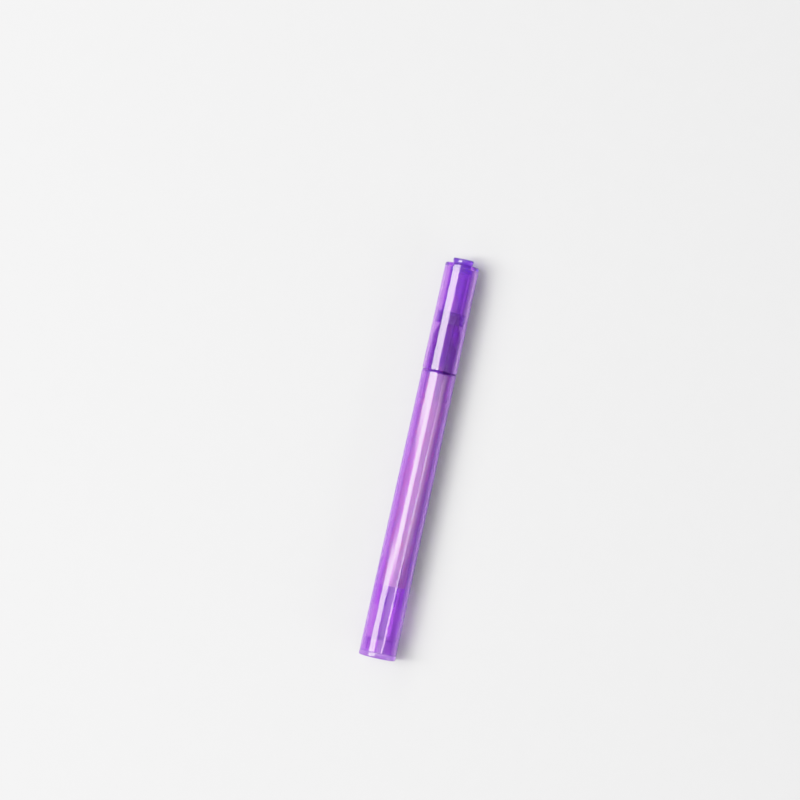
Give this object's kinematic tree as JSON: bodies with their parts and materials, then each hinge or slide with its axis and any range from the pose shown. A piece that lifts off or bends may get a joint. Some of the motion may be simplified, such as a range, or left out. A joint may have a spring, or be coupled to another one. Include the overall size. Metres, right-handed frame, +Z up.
{
  "type": "invisible ink pen",
  "caption": "Slim round felt-tip pen in clear purple plastic with a fibre ink wick, a pressed-in nib and a pull-off cap with a sealing liner.",
  "frame": {"origin": "on the surface the pen lies on, under the middle of its length", "axes": "+X along the pen's axis towards the cap's button, +Z up"},
  "size_m": [0.0976, 0.009, 0.009],
  "materials": {
    "purple_plastic": "clear purple polystyrene, polished, moulded",
    "nib_fibre": "white pressed fibre, matte",
    "wick_fibre": "pale pink bundled fibre, matte",
    "clear_film": "thin clear wrap, glossy"
  },
  "bodies": {
    "pen_body": {"barrel": "purple_plastic", "end_plug": "purple_plastic", "nib_section": "purple_plastic", "nib": "nib_fibre", "ink_wick": "wick_fibre", "wick_film": "clear_film"},
    "cap_liner": {"inner_cap": "purple_plastic"},
    "cap": {"cap_shell": "purple_plastic"}
  },
  "joints": [
    {"name": "cap_pull", "type": "slide", "parent": "pen_body", "child": "cap_liner", "axis": [1, 0, 0], "range_m": [0, 0.03]},
    {"name": "cap_twist", "type": "hinge", "parent": "cap_liner", "child": "cap", "pos_m": [0.0345, 0, 0.0045], "axis": [1, 0, 0], "continuous": true}
  ]
}
